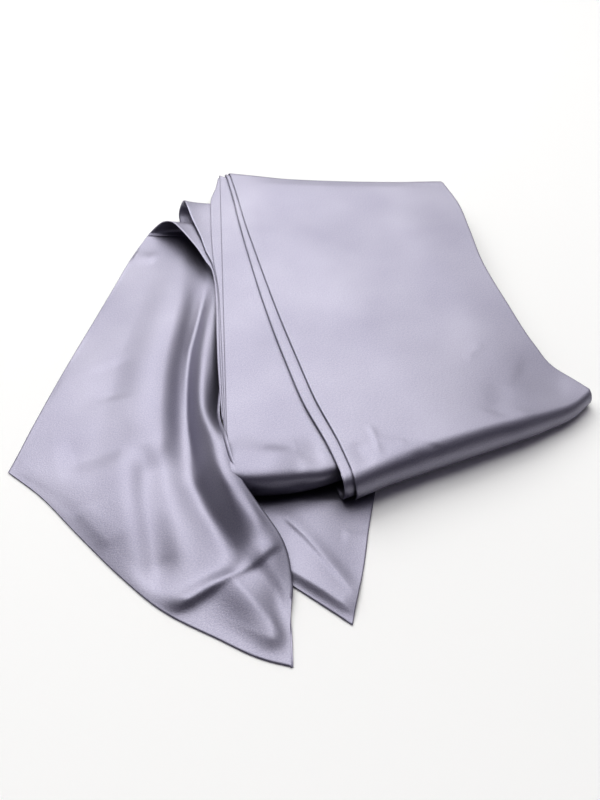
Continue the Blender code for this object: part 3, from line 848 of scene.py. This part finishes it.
# %% [markdown]
# ## The right tail
#
# The other end of the strip comes out from under the pile and lies flat, with one soft crease
# that hooks round near the pile and runs down towards the corner. It is a plain sheet between a
# left and a right edge, with a low swell in the middle.

# %% Rows and creases of the right tail
# left x, left y, right x, right y, height of its soft swell
RIGHT_TAIL_ROWS = (
    (-39.0, -97.0, 40.5, -97.0, 0.0),
    (-38.0, -124.0, 35.6, -124.0, 1.4),
    (-33.0, -141.0, 31.8, -144.0, 2.2),
    (-21.0, -160.0, 27.4, -171.0, 1.6),
    (-15.5, -177.3, 20.2, -204.5, 0.0),
)
# path over the plan, width on its left, width on its right, height
RIGHT_TAIL_CREASES = (
    (((-50, -126), (-20, -125), (14, -123), (44, -120)), 6.0, 16.0, 1.6),
    (((-22, -131), (-15, -136), (-4, -149), (6, -163), (15, -176), (24, -188)), 5.0, 1.8, 0.9),
    (((16, -146), (26, -147), (38, -150)), 3.5, 6.0, 0.4),
    (((-32, -159), (-11, -172), (7, -185), (27, -201)), 16.0, 4.2, 2.6),
)
print("right tail:", len(RIGHT_TAIL_ROWS), "rows,", len(RIGHT_TAIL_CREASES), "creases")

# %% The right tail
run = along_rows(RIGHT_TAIL_ROWS, 150)
share = np.linspace(0, 1, 90)[None, :]
left, right = run[:, None, 0:2], run[:, None, 2:4]
plan = left + share[..., None] * (right - left)
swell = np.maximum(run[:, 4:5] * np.sin(math.pi * share) ** 2, 0)
right_face = np.dstack([plan, WALL + swell])
right_face = creased(right_face, RIGHT_TAIL_CREASES, seed=12, uneven=0.12, size=40.0)
right_tail = shell("right_tail_cloth", right_face, SATIN, *LYING)

# %% [markdown]
# ## The hidden layers
#
# Between the panels and the surface lie more passes of the same strip. They show only from the
# right and from below, as a stack of soft folded edges. Modelling each of them would cost many
# faces that nobody sees, so they are one body, with rings round its rim that bulge out once for
# each layer.

# %% Lines of the folded layers
# far x, far y, near x, near y, height of the upper face, or None under the top panel
CORE_LINES = (
    (-61.0, 199.0, -43.0, -104.0, SECOND_TOP - 4 * PITCH),
    (-58.0, 205.0, -34.5, -109.0, SECOND_TOP - 4 * PITCH),
    (-55.0, 205.0, -31.5, -109.0, SECOND_TOP - PITCH),
    (-48.0, 205.0, 5.0, -104.5, SECOND_TOP - PITCH),
    (-40.5, 205.0, 33.0, -96.0, SECOND_TOP - PITCH),
    (-36.5, 205.0, 36.5, -95.5, None),
    (0.0, 204.0, 66.0, -88.5, None),
    (52.0, 202.5, 102.0, -71.5, None),
    (82.0, 202.0, 135.0, -55.5, None),
    (104.0, 202.0, 160.0, -41.0, None),
)
CORE_DEPTH = 2 * PITCH  # below the top panel's upper face
CORE_FOOT = (0.10, 0.14, 0.84, 0.88)  # share from far to near: it rests between the middle two
CORE_RAISED = 6.3  # height of its underside beyond its foot
print("folded layers:", len(CORE_LINES), "lines from far to near")

# %% Upper and lower face of the folded layers


def core_faces():
    """The upper face follows the panels above, and the lower face lifts at both ends."""
    lines = np.array([line[:4] for line in CORE_LINES])
    share = np.sort(np.unique(np.concatenate([np.linspace(0, 1, 73), CORE_FOOT])))
    far, near = lines[None, :, 0:2], lines[None, :, 2:4]
    plan = far + share[:, None, None] * (near - far)
    weight = np.linspace(0, 1, len(lines)) ** 3
    plan[..., 0] -= through(RIGHT_WAIST, share) * weight[None]
    top = pile_top(plan[..., 0], plan[..., 1]) - CORE_DEPTH
    for i, line in enumerate(CORE_LINES):
        if line[4] is not None:
            top[:, i] = line[4]
    first, start, end, last = CORE_FOOT
    lift = np.interp(share, (0, first, start, end, last, 1), (1, 1, 0, 0, 1, 1))
    lift = np.minimum(CORE_RAISED * lift[:, None], 0.5 * top)
    return np.dstack([plan, top]), np.dstack([plan, lift])


# %% The folded layers
CORE_END_BULGE = 6.6
CORE_SIDE_BULGE = 1.6
CORE_LAYERS = 7
RINGS_PER_LAYER = 6
CORE_GROOVE = 1.0
WANDER = 0.5  # how far a layer's edge wanders in and out
WANDER_LENGTH = 9.0  # in points along the rim
WANDER_SHIFT = 2.1  # from one layer to the next


def core_body(upper, lower):
    """One closed body whose rim bulges and is grooved between its layers."""
    rows, columns = upper.shape[:2]
    rim = rim_of(rows, columns)
    top = np.array([upper[p] for p in rim])
    bottom = np.array([lower[p] for p in rim])
    along = np.roll(top, -1, axis=0) - np.roll(top, 1, axis=0)
    outward = np.stack([along[:, 1], -along[:, 0]], axis=1)
    outward /= np.linalg.norm(outward, axis=1, keepdims=True)
    at_end = np.array([float(i in (0, rows - 1)) for i, _ in rim])
    at_end = (np.roll(at_end, 1) + 2 * at_end + np.roll(at_end, -1)) / 4
    height = (top[:, 2] - bottom[:, 2]) / (PILE_TOP - CORE_DEPTH - CORE_RAISED)
    bulge = (CORE_SIDE_BULGE + (CORE_END_BULGE - CORE_SIDE_BULGE) * at_end) * np.minimum(height, 1)
    size = rows * columns
    points = [upper.reshape(-1, 3), lower.reshape(-1, 3)]
    count = len(rim)
    rings = [np.array([i * columns + j for i, j in rim])]
    total = 2 * size
    steps = CORE_LAYERS * RINGS_PER_LAYER
    for k in range(1, steps):
        share = k / steps
        in_layer = (k % RINGS_PER_LAYER) / RINGS_PER_LAYER
        groove = CORE_GROOVE * (1 - math.sin(math.pi * in_layer)) ** 2
        layer = k // RINGS_PER_LAYER
        shift = WANDER * np.sin(np.arange(count) / WANDER_LENGTH + WANDER_SHIFT * layer)
        ring = top + share * (bottom - top)
        round_out = bulge * math.sqrt(1 - (2 * share - 1) ** 2)
        ring[:, :2] += outward * (round_out - groove + np.minimum(shift, 0))[:, None]
        points.append(ring)
        rings.append(total + np.arange(count))
        total += count
    rings.append(size + rings[0])
    flat = squares_of(rows, columns)
    faces = [flat, flat[:, ::-1] + size]
    following = np.roll(np.arange(count), -1)
    for above, below in zip(rings, rings[1:]):
        faces.append(np.stack([above, below, below[following], above[following]], axis=1))
    return np.concatenate(points), np.concatenate(faces)


core = make_piece("folded_layers", *core_body(*core_faces()), SATIN)

# %% [markdown]
# ## Joining the scene to the frame
#
# Every piece rides on the one body and stands for its CAD solid. Each shell is listed with the
# size of cloth that it shows, in metres, and that flat area is printed beside the shell's own. The
# area of a shell is half the area of its faces, because it has two sides.

# %% Ride, replace and print areas
SHEETS = (
    (top_panel, "top_panel", (0.17, 0.39)),
    (under_ply, "top_panel_under_ply", (0.17, 0.39)),
    (second_panel, "second_panel", (0.055, 0.38)),
    (middle_leaf, "middle_leaf", (0.018, 0.31)),
    (outer_turn, "far_turn_outer", (0.022, 0.31)),
    (inner_turn, "far_turn_inner", (0.025, 0.27)),
    (left_tail, "left_tail", (0.11, 0.36)),
    (right_tail, "right_tail", (0.06, 0.10)),
)
for piece, node, flat in SHEETS:
    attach(piece, "root")
    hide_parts(node)
    area = sum(face.area for face in piece.data.polygons) / 2
    print(f"{node}: flat {flat[0] * flat[1]:.4f} m2, shell {area:.4f} m2")
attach(core, "root")
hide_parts("folded_core")

# %% [markdown]
# ## Studio
#
# The stole lies on a plain white surface, which is one big square a little below its underside.
# Curved paper behind it would do as well, but from this height nothing beyond the floor shows.

# %% Floor
FLOOR_HALF = 3.0
FLOOR_DROP = 0.0002
corners = [(-1, -1), (1, -1), (1, 1), (-1, 1)]
places = [(FLOOR_HALF * a, FLOOR_HALF * b, -FLOOR_DROP) for a, b in corners]
floor_mesh = bpy.data.meshes.new("floor")
floor_mesh.from_pydata(places, [], [(0, 1, 2, 3)])
floor = bpy.data.objects.new("floor", floor_mesh)
bpy.context.scene.collection.objects.link(floor)
print("floor:", 2 * FLOOR_HALF, "m wide")

# %% The pale surface
PALE_SOCKETS = {
    "Base Color": (0.95, 0.95, 0.92, 1),
    "Roughness": 0.9,
    "Specular IOR Level": 0.1,
}
pale_surface = bpy.data.materials.new("pale_surface")
pale_surface.use_nodes = True
set_sockets(pale_surface.node_tree.nodes["Principled BSDF"], PALE_SOCKETS)
floor_mesh.materials.append(pale_surface)
print("under the stole:", pale_surface.name)

# %% [markdown]
# ## Light
#
# A broad soft light stands behind the stole and to the left, and a weaker one hangs above it, so
# that the panels are pale and the folds that face the camera fall dark. Satin also mirrors the
# room, so the room matters as much as the lamps do. It is bright behind the stole and above it,
# dim on the near side, and pale all round near the horizon, so the satin keeps its sheen from the
# other sides too. A photo of a studio could light it, but a few nodes need no file.

# %% Lamps
# name, place, size in metres, power in watts
LAMPS = (
    ("key", (-0.50, 0.95, 1.00), (1.6, 0.9), 4.6),
    ("top", (-0.15, 0.05, 1.30), (0.7, 0.5), 1.4),
)
for name, place, size, power in LAMPS:
    data = bpy.data.lights.new(name, "AREA")
    data.shape = "RECTANGLE"
    data.size, data.size_y = size
    data.energy = power
    lamp = bpy.data.objects.new(name, data)
    bpy.context.scene.collection.objects.link(lamp)
    lamp.location = place
    look_x, look_y, look_z = (-c for c in place)
    tilt = math.atan2(math.hypot(look_x, look_y), -look_z)
    lamp.rotation_euler = (tilt, 0.0, math.atan2(look_y, look_x) - math.pi / 2)
    print(f"{name}: {power} W, {round(math.degrees(tilt))} degrees from straight down")

# %% Values of the room
BRIGHT_SIDE = (-0.04, 0.62, 0.78)  # the way to the middle of the bright side
BRIGHT_FROM, BRIGHT_FULL = 0.58, 0.95  # cosines of the angle from it
BAND_TOP, BAND_FULL = 0.42, 0.12  # heights in the sky, 0 at the horizon and 1 overhead
DIM = [0.055 * c for c in (0.90, 0.76, 1.30, 1)]
BRIGHT = [1.52 * c for c in (1.0, 1.0, 1.0, 1)]
HORIZON = [0.42 * c for c in (1.0, 1.0, 1.0, 1)]
print("the bright side is", round(BRIGHT[1] / DIM[1]), "times as bright as the dim side")

# %% The room
world = bpy.data.worlds.new("studio")
bpy.context.scene.world = world
world.use_nodes = True
room = world.node_tree
background = room.nodes["Background"]
places = add_node(room, "ShaderNodeTexCoord")
facing = add_node(room, "ShaderNodeVectorMath", {1: BRIGHT_SIDE}, operation="DOT_PRODUCT")
brighter = {"From Min": BRIGHT_FROM, "From Max": BRIGHT_FULL}
ramp = add_node(room, "ShaderNodeMapRange", brighter, interpolation_type="SMOOTHSTEP")
sides = add_node(
    room, "ShaderNodeMix", {"A": DIM, "B": BRIGHT}, data_type="RGBA", clamp_factor=True
)
height = add_node(room, "ShaderNodeSeparateXYZ")
lower = {"From Min": BAND_TOP, "From Max": BAND_FULL}
low = add_node(room, "ShaderNodeMapRange", lower, interpolation_type="SMOOTHSTEP")
pale_band = add_node(room, "ShaderNodeMix", {"B": HORIZON}, data_type="RGBA", clamp_factor=True)
joined = (
    (places.outputs["Generated"], facing.inputs[0]),
    (facing.outputs["Value"], ramp.inputs["Value"]),
    (ramp.outputs["Result"], sides.inputs["Factor"]),
    (places.outputs["Generated"], height.inputs["Vector"]),
    (height.outputs["Z"], low.inputs["Value"]),
    (low.outputs["Result"], pale_band.inputs["Factor"]),
    (sides.outputs["Result"], pale_band.inputs["A"]),
    (pale_band.outputs["Result"], background.inputs["Color"]),
)
for output, socket in joined:
    room.links.new(output, socket)
background.inputs["Strength"].default_value = 1.0
print("room:", len(room.nodes), "nodes")

# %% [markdown]
# ## Camera
#
# The camera stands on the near side and looks down on the stole at the angle of the photo. That
# angle was worked out from how the panels shorten with distance.

# %% Camera
CAMERA_HEIGHT = 0.414
CAMERA_AT = (-7.3 * MM, -462.7 * MM)
DOWN_TILT = math.radians(44.0)
camera_data = bpy.data.cameras.new("camera")
camera_data.lens = 40.5
camera_data.sensor_width = 36.0
camera_data.clip_start = 0.01
camera = bpy.data.objects.new("camera", camera_data)
bpy.context.scene.collection.objects.link(camera)
camera.location = (
    CAMERA_AT[0] - FOOTPRINT_MIDDLE[0] * MM,
    CAMERA_AT[1] - FOOTPRINT_MIDDLE[1] * MM,
    CAMERA_HEIGHT,
)
camera.rotation_euler = (math.pi / 2 - DOWN_TILT, 0.0, 0.0)
bpy.context.scene.camera = camera
bpy.context.scene.view_settings.view_transform = "Standard"
bpy.context.scene.view_settings.look = "High Contrast"
print("camera at", [round(c, 4) for c in camera.location])

# %% [markdown]
# ## The end

# %% The end
bpy.context.view_layer.update()
